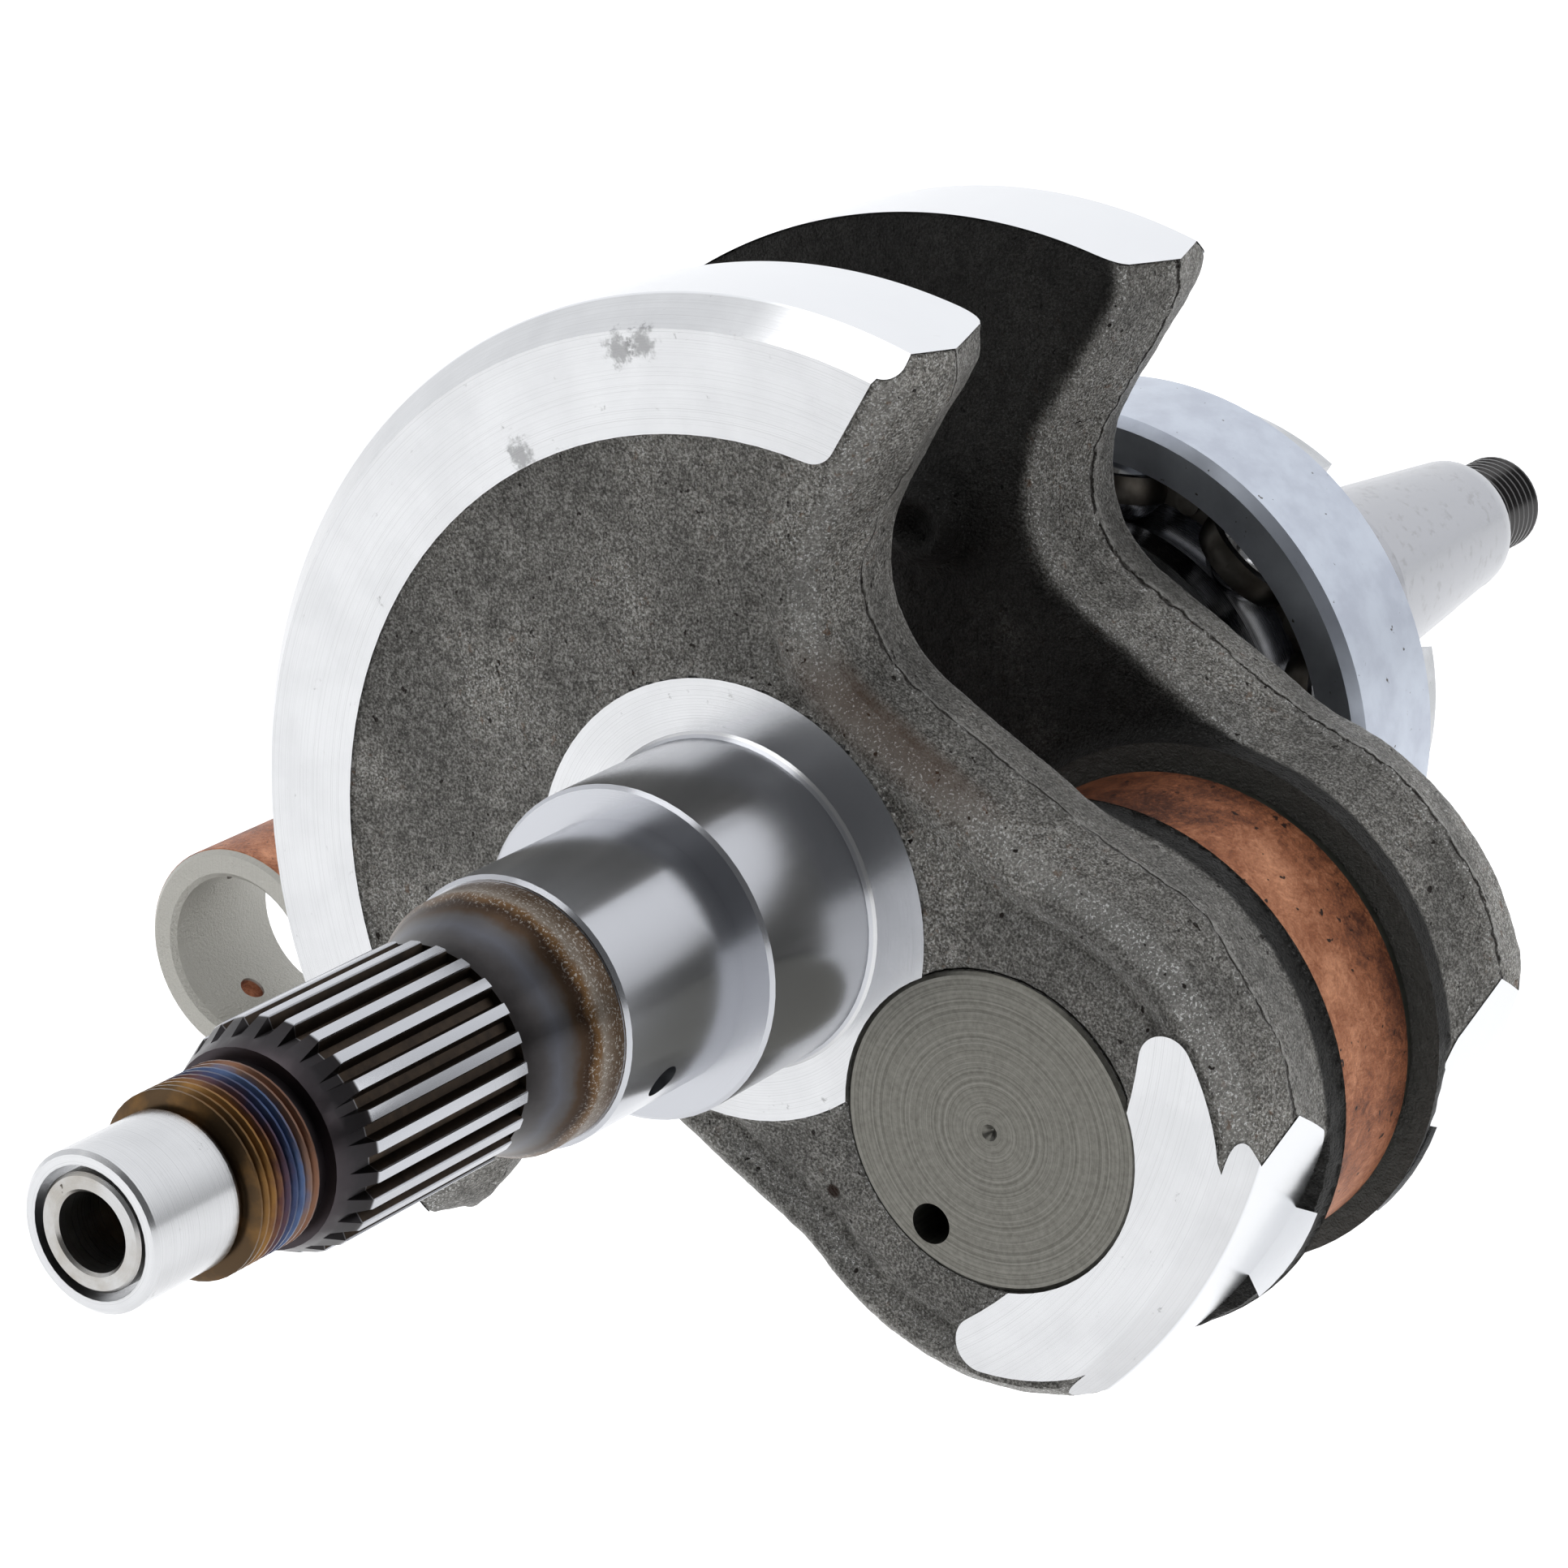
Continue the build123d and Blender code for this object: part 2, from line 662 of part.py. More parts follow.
# ---- Lugged flange pressed on behind the main bearing
with BuildPart() as lugged_drive_flange:
    with BuildSketch(crank_plane.offset(bearing_width / 2 + flange_gap)):
        for lug in range(flange_lug_count):
            first_edge = flange_lug_start - flange_lug_angle / 2 + lug * 360 / flange_lug_count
            Polygon(
                (0, 0),
                polar(2 * flange_lug_radius, first_edge),
                polar(2 * flange_lug_radius, first_edge + flange_lug_angle),
                align=None,
            )
        Circle(flange_lug_radius, mode=Mode.INTERSECT)
        Circle(flange_root_radius)
        Circle(flange_seat_radius, mode=Mode.SUBTRACT)
    extrude(amount=flange_width)
    chamfer(faces().sort_by(Axis.X)[-1].outer_wire().edges(), flange_chamfer)
lugged_drive_flange.part.label = "lugged_drive_flange"

pieces = (
    drive_side_crank_half,
    rotor_side_crank_half,
    crankpin,
    crankpin_oil_plug,
    oil_feed_bush,
    connecting_rod,
    big_end_cage,
    big_end_rollers,
    drive_side_thrust_washer,
    rotor_side_thrust_washer,
    main_bearing_outer_ring,
    main_bearing_inner_ring,
    main_bearing_balls,
    main_bearing_cage_inboard,
    main_bearing_cage_outboard,
    main_bearing_cage_rivets,
    lugged_drive_flange,
)
for piece in pieces:
    export_step(piece.part, f"parts/{piece.part.label}.step")
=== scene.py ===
import bpy
import bmesh
import json
import math
import numpy as np
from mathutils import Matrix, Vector, noise
from mathutils.kdtree import KDTree

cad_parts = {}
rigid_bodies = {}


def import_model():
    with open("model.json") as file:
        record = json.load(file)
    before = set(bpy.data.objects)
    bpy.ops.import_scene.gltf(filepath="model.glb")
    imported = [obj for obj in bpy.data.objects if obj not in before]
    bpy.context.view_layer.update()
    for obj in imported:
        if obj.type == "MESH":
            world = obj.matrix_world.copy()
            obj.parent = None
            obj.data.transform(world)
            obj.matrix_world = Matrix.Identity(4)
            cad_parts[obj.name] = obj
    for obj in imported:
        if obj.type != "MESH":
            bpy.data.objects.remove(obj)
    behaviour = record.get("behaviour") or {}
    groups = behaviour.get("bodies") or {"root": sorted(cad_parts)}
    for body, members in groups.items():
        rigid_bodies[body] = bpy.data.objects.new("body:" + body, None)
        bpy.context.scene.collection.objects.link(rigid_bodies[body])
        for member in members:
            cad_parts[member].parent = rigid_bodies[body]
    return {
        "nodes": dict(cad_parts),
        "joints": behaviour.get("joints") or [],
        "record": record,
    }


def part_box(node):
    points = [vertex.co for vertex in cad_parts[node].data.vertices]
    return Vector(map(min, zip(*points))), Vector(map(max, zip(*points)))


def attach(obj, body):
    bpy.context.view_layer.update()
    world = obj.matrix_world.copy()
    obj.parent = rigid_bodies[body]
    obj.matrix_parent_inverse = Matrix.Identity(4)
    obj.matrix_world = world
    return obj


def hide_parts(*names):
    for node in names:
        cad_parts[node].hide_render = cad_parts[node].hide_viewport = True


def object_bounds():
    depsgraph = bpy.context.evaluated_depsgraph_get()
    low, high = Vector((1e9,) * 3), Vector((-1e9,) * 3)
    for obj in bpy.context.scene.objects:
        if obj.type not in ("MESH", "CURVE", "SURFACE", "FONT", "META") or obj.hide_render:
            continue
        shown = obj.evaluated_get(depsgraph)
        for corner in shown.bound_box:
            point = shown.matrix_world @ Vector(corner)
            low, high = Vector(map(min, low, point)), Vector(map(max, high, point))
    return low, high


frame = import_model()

for leftover in list(bpy.data.objects):  # start from an empty stage, the frame apart
    if leftover.name in ("Cube", "Light", "Camera"):
        bpy.data.objects.remove(leftover)
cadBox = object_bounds()
nodes = frame["nodes"]
print("frame loaded:", len(nodes), "parts")

# where things are, read from the frame, in metres
joints = {joint["name"]: joint for joint in frame["joints"]}
mounts = {mount["name"]: mount for mount in frame["record"]["mounts"]}
pinCentre = Vector(joints["rod_swing"]["pos_m"])  # on the pin axis, in the rod's plane
throwAngle = math.atan2(pinCentre.z, pinCentre.y)
throwDirection = Vector((0.0, math.cos(throwAngle), math.sin(throwAngle)))
sideDirection = Vector((0.0, -math.sin(throwAngle), math.cos(throwAngle)))
smallEnd = Vector(mounts["small_end_bore"]["pos_m"])
crankLow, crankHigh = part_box("crankpin")
pinSetback = 0.0003  # the pin's ends lie this far below the machined faces

# sizes of the webs in millimetres, which the skins and materials work in
mm = 1000.0
webSizes = {
    "thickness": 18.7,
    "rimRadius": 62.5,
    "faceRadius": 59.5,     # where the rim chamfer meets the machined face
    "chamferRise": 3.0,
    "chamferRun": 3.7,
    "bossRadius": 24.0,
    "boreRadius": 17.0,
    "padRadius": 29.2,
}
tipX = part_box("drive_side_crank_half")[0].x * mm
outerX = (crankLow.x - pinSetback) * mm  # machined outer face of the drive web
innerX = outerX + webSizes["thickness"]
rotorOuterX = (crankHigh.x + pinSetback) * mm
rotorInnerX = rotorOuterX - webSizes["thickness"]
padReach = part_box("drive_side_thrust_washer")[0].x * mm - innerX - 0.06


# small helpers for node materials

def newMaterial(name):
    material = bpy.data.materials.new(name)
    material.use_nodes = True
    material.node_tree.nodes.clear()
    return material


def addNode(tree, kind, **settings):
    node = tree.nodes.new(kind)
    for key, value in settings.items():
        setattr(node, key, value)
    return node


def feed(tree, socket, value):
    if isinstance(value, bpy.types.NodeSocket):
        tree.links.new(value, socket)
    elif socket.type == "RGBA" and len(value) == 3:
        socket.default_value = (*value, 1.0)
    else:
        socket.default_value = value


def calc(tree, operation, a, b=0.0, clamp=False):
    node = addNode(tree, "ShaderNodeMath", operation=operation, use_clamp=clamp)
    feed(tree, node.inputs[0], a)
    feed(tree, node.inputs[1], b)
    return node.outputs[0]


def plus(tree, a, b):
    return calc(tree, "ADD", a, b)


def minus(tree, a, b):
    return calc(tree, "SUBTRACT", a, b)


def times(tree, a, b):
    return calc(tree, "MULTIPLY", a, b)


def both(tree, a, b):  # where two masks meet
    return calc(tree, "MULTIPLY", a, b)


def either(tree, a, b):
    return calc(tree, "MAXIMUM", a, b)


def blendColor(tree, factor, a, b, mode="MIX"):
    node = addNode(tree, "ShaderNodeMix", data_type="RGBA", blend_type=mode)
    feed(tree, node.inputs["Factor"], factor)
    feed(tree, node.inputs[6], a)
    feed(tree, node.inputs[7], b)
    return node.outputs[2]


def blendValue(tree, factor, a, b):
    node = addNode(tree, "ShaderNodeMix", data_type="FLOAT")
    feed(tree, node.inputs["Factor"], factor)
    feed(tree, node.inputs[2], a)
    feed(tree, node.inputs[3], b)
    return node.outputs[0]


def rise(tree, value, low, high):  # 0 below low, 1 above high, smooth between
    node = addNode(tree, "ShaderNodeMapRange", interpolation_type="SMOOTHSTEP")
    feed(tree, node.inputs["Value"], value)
    feed(tree, node.inputs["From Min"], low)
    feed(tree, node.inputs["From Max"], high)
    return node.outputs["Result"]


def fall(tree, value, low, high):  # 1 below low, 0 above high
    return minus(tree, 1.0, rise(tree, value, low, high))


def band(tree, value, low, high, soft):  # 1 between low and high
    up = rise(tree, value, low - soft, low + soft)
    down = rise(tree, value, high - soft, high + soft)
    return calc(tree, "SUBTRACT", up, down, clamp=True)


def ramp(tree, factor, stops):
    node = addNode(tree, "ShaderNodeValToRGB")
    feed(tree, node.inputs[0], factor)
    line = node.color_ramp.elements
    while len(line) < len(stops):
        line.new(0.5)
    for element, (place, color) in zip(line, stops):
        element.position = place
        element.color = (*color, 1.0)
    return node.outputs[0]


def grain(tree, vector, scale, detail=4.0, rough=0.6, distortion=0.0):
    node = addNode(tree, "ShaderNodeTexNoise")
    feed(tree, node.inputs["Vector"], vector)
    node.inputs["Scale"].default_value = scale
    node.inputs["Detail"].default_value = detail
    node.inputs["Roughness"].default_value = rough
    node.inputs["Distortion"].default_value = distortion
    return node.outputs[0]


def lines(tree, value, scale, detail=3.0, rough=0.7):  # fine tool marks along one coordinate
    node = addNode(tree, "ShaderNodeTexNoise", noise_dimensions="1D")
    feed(tree, node.inputs["W"], value)
    node.inputs["Scale"].default_value = scale
    node.inputs["Detail"].default_value = detail
    node.inputs["Roughness"].default_value = rough
    return node.outputs[0]


def bump(tree, height, strength, distance):
    node = addNode(tree, "ShaderNodeBump")
    node.inputs["Strength"].default_value = strength
    node.inputs["Distance"].default_value = distance
    feed(tree, node.inputs["Height"], height)
    return node.outputs[0]


def distanceAlong(tree, point, direction):
    node = addNode(tree, "ShaderNodeVectorMath", operation="DOT_PRODUCT")
    feed(tree, node.inputs[0], point)
    node.inputs[1].default_value = direction
    return node.outputs["Value"]


def frameSpots(tree, centre=(0.0, 0.0)):
    # in millimetres: the point, its distance along the axis, and its place and radius about centre
    coordinates = addNode(tree, "ShaderNodeTexCoord")
    scaled = addNode(tree, "ShaderNodeVectorMath", operation="SCALE")
    feed(tree, scaled.inputs[0], coordinates.outputs["Object"])
    scaled.inputs["Scale"].default_value = mm
    split = addNode(tree, "ShaderNodeSeparateXYZ")
    feed(tree, split.inputs[0], scaled.outputs[0])
    y = minus(tree, split.outputs[1], centre[0] * mm)
    z = minus(tree, split.outputs[2], centre[1] * mm)
    radius = calc(tree, "SQRT", plus(tree, times(tree, y, y), times(tree, z, z)))
    return {"point": scaled.outputs[0], "x": split.outputs[0], "y": y, "z": z, "radius": radius}


def finishSurface(material, color, roughness, normal=None, metallic=1.0,
                  anisotropic=0.0, tangent=None, glow=0.0):
    tree = material.node_tree
    shader = addNode(tree, "ShaderNodeBsdfPrincipled")
    shader.inputs["Emission Color"].default_value = (1.0, 1.0, 1.0, 1.0)
    shader.inputs["Emission Strength"].default_value = glow
    shader.inputs["Specular IOR Level"].default_value = 0.5
    shader.inputs["Anisotropic"].default_value = anisotropic
    shader.inputs["Anisotropic Rotation"].default_value = 0.25
    feed(tree, shader.inputs["Base Color"], color)
    feed(tree, shader.inputs["Roughness"], roughness)
    feed(tree, shader.inputs["Metallic"], metallic)
    if normal is not None:
        feed(tree, shader.inputs["Normal"], normal)
    if tangent is not None:
        feed(tree, shader.inputs["Tangent"], tangent)
    output = addNode(tree, "ShaderNodeOutputMaterial")
    tree.links.new(shader.outputs[0], output.inputs[0])
    return material


def aroundAxis(tree, spots):  # direction of the tool marks on a turned surface
    join = addNode(tree, "ShaderNodeCombineXYZ")
    feed(tree, join.inputs[1], times(tree, spots["z"], -1.0))
    feed(tree, join.inputs[2], spots["y"])
    turn = addNode(tree, "ShaderNodeVectorTransform", vector_type="VECTOR",
                   convert_from="OBJECT", convert_to="WORLD")
    feed(tree, turn.inputs[0], join.outputs[0])
    unit = addNode(tree, "ShaderNodeVectorMath", operation="NORMALIZE")
    feed(tree, unit.inputs[0], turn.outputs[0])
    return unit.outputs[0]


def axialLean(tree):  # 1 on faces square to the axis, 0 on faces along it
    surface = addNode(tree, "ShaderNodeNewGeometry")
    split = addNode(tree, "ShaderNodeSeparateXYZ")
    feed(tree, split.inputs[0], surface.outputs["True Normal"])
    return calc(tree, "ABSOLUTE", split.outputs[0])


# raw forging of the webs; noise scales are grains per millimetre
forgedFinish = {
    "dark": (0.042, 0.040, 0.036),
    "middle": (0.145, 0.140, 0.128),
    "light": (0.38, 0.375, 0.355),
    "fleck": (0.62, 0.62, 0.61),
    "pit": (0.016, 0.012, 0.010),
    "rust": (0.13, 0.055, 0.018),
    "rustCore": (0.040, 0.024, 0.015),
    "deepPit": (0.020, 0.009, 0.005),
    "patches": 0.06,
    "coarse": 0.7,
    "grit": 3.4,
    "roughness": 0.42,
    "paintedInnerShade": (0.10, 0.10, 0.10),   # painted shade between the webs
    "stainAlong": (-5.0, 16.0),         # rust beside the neck, along the throw
    "stainAcross": (-29.0, -25.5),
    "deepPitAt": (25.5, 19.1),
}


def forgedLook(tree, spots):
    look, point, x = forgedFinish, spots["point"], spots["x"]
    patches = grain(tree, point, look["patches"], 4.0, 0.6)
    grit = grain(tree, point, look["grit"], 3.0, 0.7)
    coarse = grain(tree, point, look["coarse"], 3.0, 0.6)
    tone = plus(tree, times(tree, grit, 0.8), times(tree, coarse, 0.2))
    color = ramp(tree, tone, [(0.38, look["dark"]), (0.5, look["middle"]), (0.63, look["light"])])
    dim = blendColor(tree, rise(tree, patches, 0.35, 0.7), (0.78, 0.78, 0.78), (1.25, 1.24, 1.22))
    color = blendColor(tree, 1.0, color, dim, "MULTIPLY")

    # bright flecks, more of them on the rounded edges, which are also lightened as a painted highlight, then pits
    # and brown spots
    edges = band(tree, axialLean(tree), 0.34, 0.90, 0.12)
    flecks = rise(tree, grain(tree, point, 3.6, 2.0, 0.6), 0.57, 0.65)
    share = either(tree, edges, times(tree, rise(tree, patches, 0.40, 0.66), 0.75))
    color = blendColor(tree, times(tree, edges, 0.30), color, look["light"])
    color = blendColor(tree, both(tree, flecks, share), color, look["fleck"])
    pits = rise(tree, grain(tree, point, 0.95, 2.0, 0.4), 0.715, 0.75)
    color = blendColor(tree, pits, color, look["pit"])
    browns = rise(tree, grain(tree, point, 0.75, 3.0, 0.6), 0.62, 0.70)
    browns = both(tree, browns, rise(tree, patches, 0.45, 0.62))
    color = blendColor(tree, times(tree, browns, 0.55), color, look["rust"])

    # the trimmed flash runs round the flank at mid thickness
    seamSpot = addNode(tree, "ShaderNodeAttribute", attribute_name="fromSeam")
    wander = times(tree, minus(tree, coarse, 0.5), 1.1)
    offset = plus(tree, seamSpot.outputs["Fac"], wander)
    flank = fall(tree, axialLean(tree), 0.3, 0.4)
    seam = both(tree, band(tree, offset, -0.22, 0.22, 0.15), flank)
    lip = both(tree, band(tree, offset, 0.3, 1.1, 0.3), both(tree, flank, rise(tree, coarse, 0.4, 0.6)))
    color = blendColor(tree, times(tree, seam, 0.8), color, look["pit"])
    color = blendColor(tree, times(tree, lip, 0.45), color, look["light"])
    step = both(tree, rise(tree, offset, -0.4, 0.4), flank)

    # rust in the groove beside the neck, and one deep pit
    along = distanceAlong(tree, point, throwDirection)
    across = distanceAlong(tree, point, sideDirection)
    stain = both(tree, band(tree, along, *look["stainAlong"], 6.0), band(tree, across, *look["stainAcross"], 2.4))
    stain = both(tree, stain, band(tree, x, outerX - 1.0, outerX + 4.5, 1.2))
    stainCore = both(tree, stain, rise(tree, grit, 0.38, 0.62))
    color = blendColor(tree, times(tree, stain, 0.38), color, look["rust"])
    color = blendColor(tree, times(tree, stainCore, 0.60), color, look["rustCore"])
    pitAlong = calc(tree, "POWER", minus(tree, along, look["deepPitAt"][0]), 2.0)
    pitAcross = calc(tree, "POWER", minus(tree, across, look["deepPitAt"][1]), 2.0)
    deepPit = fall(tree, plus(tree, pitAlong, pitAcross), 0.25, 0.9)
    deepPit = both(tree, deepPit, band(tree, x, outerX - 1.0, outerX + 3.0, 0.5))
    color = blendColor(tree, deepPit, color, look["deepPit"])

    # painted shade between the webs, where little light reaches
    inside = band(tree, x, innerX - 0.5, rotorInnerX + 0.5, 0.4)
    paintedShadeTint = blendColor(tree, inside, (1.0, 1.0, 1.0), look["paintedInnerShade"])
    color = blendColor(tree, 1.0, color, paintedShadeTint, "MULTIPLY")
    rough = blendValue(tree, grit, look["roughness"] - 0.14, look["roughness"] + 0.24)
    height = plus(tree, grit, times(tree, coarse, 1.5))
    height = minus(tree, height, times(tree, pits, 1.5))
    height = plus(tree, height, times(tree, step, 1.6))
    height = minus(tree, height, times(tree, seam, 1.2))
    return color, rough, height


# ground and turned steel of the crank
groundFinish = {
    "color": (0.60, 0.605, 0.615),
    "dull": (0.545, 0.55, 0.56),
    "rim": (0.74, 0.75, 0.77),
    "journal": (0.46, 0.47, 0.50),
    "scuff": (0.26, 0.26, 0.26),
    "smudge": (0.13, 0.13, 0.13),
    "smudges": [(-39.5, -42.0), (-37.4, -44.3), (-43.7, -24.7)],  # along and across the throw
    # pad colours are dark as painted shade between the webs
    "padShadeDark": (0.045, 0.043, 0.039),
    "padShadeLight": (0.095, 0.092, 0.085),
    "roughness": 0.2,
    "marks": 9.0,           # tool marks per millimetre
}


def groundLook(tree, spots):
    look, point = groundFinish, spots["point"]
    marks = lines(tree, plus(tree, spots["x"], spots["radius"]), look["marks"])
    cloud = grain(tree, point, 0.12, 4.0, 0.6)
    color = blendColor(tree, rise(tree, cloud, 0.3, 0.75), look["color"], look["dull"])
    color = blendColor(tree, times(tree, rise(tree, marks, 0.52, 0.74), 0.34), color, look["scuff"])
    scuffs = rise(tree, grain(tree, point, 0.35, 5.0, 0.75), 0.62, 0.70)
    scuffs = both(tree, scuffs, rise(tree, grain(tree, point, 1.6, 3.0, 0.6), 0.5, 0.62))
    color = blendColor(tree, times(tree, scuffs, 0.7), color, look["scuff"])
    rough = blendValue(tree, marks, look["roughness"] - 0.06, look["roughness"] + 0.1)
    return color, rough, marks


def smudged(tree, spots, color):  # handling marks on the faced crescent
    for along, across in groundFinish["smudges"]:
        place = throwDirection * along + sideDirection * across
        away = addNode(tree, "ShaderNodeVectorMath", operation="DISTANCE")
        feed(tree, away.inputs[0], spots["point"])
        away.inputs[1].default_value = (outerX, place.y, place.z)
        ragged = times(tree, grain(tree, spots["point"], 1.1, 4.0, 0.7), 5.0)
        smudge = fall(tree, plus(tree, away.outputs["Value"], ragged), 3.2, 4.6)
        color = blendColor(tree, times(tree, smudge, 0.62), color, groundFinish["smudge"])
    return color


# the webs get the rounded, uneven skin that a forging die leaves; sizes in millimetres
forgedShape = {
    "voxel": 0.55,          # spacing of the new skin
    "rounding": 22,         # smoothing passes over the forged edges
    "sink": 0.12,           # how far the skin lies under turned faces
    "swell": 0.32,          # broad unevenness
    "ripple": 0.10,
    "pimple": 0.05,
    "flash": 0.42,          # height of the trimmed flash line
    "mismatch": 0.16,       # step where the two die halves met
    "groove": 0.75,         # depth of the groove inside the neck's edge
    "ridge": 0.45,          # height of the ridge outside it
    "dieMarkAt": (18.2, 22.6),   # round mark of the die, against the throw and across it
    "dieMark": 1.3,
}


def chamferRadius(out):  # radius of the rim chamfer, at a distance out from the machined face
    return webSizes["faceRadius"] - out * webSizes["chamferRise"] / webSizes["chamferRun"]


def seamOffset(spot, parting):  # distance along the axis from the wandering flash line
    return spot[0] - parting - 1.2 * noise.noise(Vector(spot) * 0.11)


def turnedFace(face, side, faceX):
    # side is -1 for the drive half, 1 for the rotor half; out grows outwards from the web's outer face
    points = [vertex.co * mm for vertex in face.verts]
    out = [(point.x - faceX) * side for point in points]
    radii = [math.hypot(point.y, point.z) for point in points]
    pinRadii = [math.hypot(point.y - pinCentre.y * mm, point.z - pinCentre.z * mm) for point in points]
    if min(out) > -0.75 and max(radii) < webSizes["bossRadius"]:
        return True  # shaft, boss disc and its edge
    if min(out) > -0.03:
        return True  # machined outer face
    if min(radii) > webSizes["rimRadius"] - 0.08 and min(out) > -webSizes["thickness"] - 0.05:
        return True  # turned rim
    if all(abs(radius - chamferRadius(depth)) < 0.06 for radius, depth in zip(radii, out)):
        return True  # rim chamfer
    if max(pinRadii) < webSizes["boreRadius"] + 0.05:
        return True  # pin bore
    return max(out) < -18.5 - padReach  # top of the thrust washer pad


def skinOf(source, side, faceX):
    # closed web without its shaft, voxel remeshed
    cut = bmesh.new()
    cut.from_mesh(source.data)
    bmesh.ops.remove_doubles(cut, verts=cut.verts, dist=1e-7)
    plane = Vector(((faceX + side * 0.3) / mm, 0.0, 0.0))
    geometry = cut.verts[:] + cut.edges[:] + cut.faces[:]
    halves = bmesh.ops.bisect_plane(cut, geom=geometry, plane_co=plane, plane_no=(side, 0, 0), clear_outer=True)
    rim = [item for item in halves["geom_cut"] if isinstance(item, bmesh.types.BMEdge)]
    bmesh.ops.holes_fill(cut, edges=rim, sides=0)
    mesh = bpy.data.meshes.new("webBlank")
    cut.to_mesh(mesh)
    cut.free()
    blank = bpy.data.objects.new("webBlank", mesh)
    bpy.context.scene.collection.objects.link(blank)
    remesh = blank.modifiers.new("skin", "REMESH")
    remesh.mode = "VOXEL"
    remesh.voxel_size = forgedShape["voxel"] / mm
    evaluated = blank.evaluated_get(bpy.context.evaluated_depsgraph_get())
    skin = bpy.data.meshes.new_from_object(evaluated)
    bpy.data.objects.remove(blank)
    return skin


def readSkin(skin, attribute):
    values = np.empty(len(skin.vertices) * 3)
    skin.vertices.foreach_get(attribute, values)
    return values.reshape(-1, 3)


def writeSkin(skin, spots):
    skin.vertices.foreach_set("co", (spots / mm).ravel())
    skin.update()


def pinDistance(spots):
    return np.hypot(spots[:, 1] - pinCentre.y * mm, spots[:, 2] - pinCentre.z * mm)


def roundEdges(skin, spots, free):
    count = len(spots)
    pairs = np.empty(len(skin.edges) * 2, dtype=np.int64)
    skin.edges.foreach_get("vertices", pairs)
    first, second = pairs.reshape(-1, 2).T
    neighbours = np.bincount(first, minlength=count) + np.bincount(second, minlength=count)
    for turn in range(forgedShape["rounding"]):
        total = np.stack([
            np.bincount(first, spots[second, axis], count) + np.bincount(second, spots[first, axis], count)
            for axis in range(3)
        ], axis=1)
        mean = total / neighbours[:, None]
        spots[free] += 0.6 * (mean[free] - spots[free])


def forgedLift(spots, normals, side, faceX, innerFaceX):
    # height of the raw forging over its smooth shape, at each point
    look = forgedShape
    parting = (faceX + innerFaceX) / 2
    radius = np.hypot(spots[:, 1], spots[:, 2])
    pinRadius = pinDistance(spots)
    out = (spots[:, 0] - faceX) * side
    along = spots[:, 1] * throwDirection.y + spots[:, 2] * throwDirection.z
    across = spots[:, 1] * sideDirection.y + spots[:, 2] * sideDirection.z
    steepness = np.abs(normals[:, 0])

    # distance from the web's outline, found from the middle of its flank
    flank = (np.abs(spots[:, 0] - parting) < 0.5) & (steepness < 0.35) & (pinRadius > 18.5) & (radius > 3.5)
    outline = KDTree(int(flank.sum()))
    for index, (a, b) in enumerate(zip(along[flank], across[flank])):
        outline.insert((a, b, 0.0), index)
    outline.balance()
    edge = np.array([outline.find((a, b, 0.0))[2] for a, b in zip(along, across)])

    lift = np.zeros(len(spots))
    for index, spot in enumerate(spots):
        point = Vector(spot)
        swell = noise.noise(point * 0.07) * look["swell"] + noise.noise(point * 0.35) * look["ripple"]
        lift[index] = swell + noise.noise(point * 0.9) * look["pimple"]

    # trimmed flash, and the small step where the dies met
    fromSeam = np.array([seamOffset(spot, parting) for spot in spots])
    onFlank = np.clip((0.55 - steepness) * 5.0, 0.0, 1.0)
    rough = 0.6 + 0.8 * np.array([noise.noise(Vector(spot) * 0.6) for spot in spots])
    lift += onFlank * look["flash"] * rough * np.exp(-(fromSeam / 0.75) ** 2)
    lift += onFlank * look["mismatch"] * np.tanh(fromSeam * side / 0.6)

    # groove and ridge inside the neck's edge
    onFace = np.clip((steepness - 0.55) * 4.0, 0.0, 1.0) * (out > -6.0)
    neck = np.clip((along + 16.0) / 6.0, 0.0, 1.0) * np.clip((pinRadius - 19.0) / 3.0, 0.0, 1.0)
    lift -= onFace * neck * look["groove"] * np.exp(-((edge - 6.6) / 1.5) ** 2)
    lift += onFace * neck * look["ridge"] * np.exp(-((edge - 3.6) / 1.4) ** 2)

    # round mark on the inner face
    markAlong, markAcross = look["dieMarkAt"]
    mark = np.hypot(along + markAlong, across + markAcross)
    ring = look["dieMark"] * np.exp(-((mark - 3.0) / 1.2) ** 2)
    lift += (out < -18.0) * (ring + 0.3 * np.exp(-(mark / 4.0) ** 2))
    return lift


def sinkSkin(spots, side, faceX, innerFaceX):
    # keep the skin just under every turned face
    sink = forgedShape["sink"]
    out = (spots[:, 0] - faceX) * side
    spots[:, 0] = np.where(out > -sink, faceX - side * sink, spots[:, 0])
    radius = np.hypot(spots[:, 1], spots[:, 2])
    underBoss = (radius < 23.3) & ((spots[:, 0] - faceX) * side > -1.0)
    spots[underBoss, 0] = faceX - side * 1.0
    out = (spots[:, 0] - faceX) * side
    limit = np.minimum(webSizes["rimRadius"], chamferRadius(out)) - sink
    limit = np.where(out < -18.9, 66.0, limit)
    shrink = np.where(radius > limit, limit / radius, 1.0)
    spots[:, 1] *= shrink
    spots[:, 2] *= shrink
    away = spots[:, 1:] - np.array([pinCentre.y, pinCentre.z]) * mm
    pinRadius = np.hypot(away[:, 0], away[:, 1])
    boreLimit = webSizes["boreRadius"] + sink
    bore = pinRadius < boreLimit
    spots[bore, 1:] += away[bore] * (boreLimit / pinRadius[bore] - 1.0)[:, None]
    pad = (pinRadius < webSizes["padRadius"]) & ((spots[:, 0] - innerFaceX) * side < -padReach + sink)
    spots[pad, 0] = innerFaceX + side * (-padReach + sink)


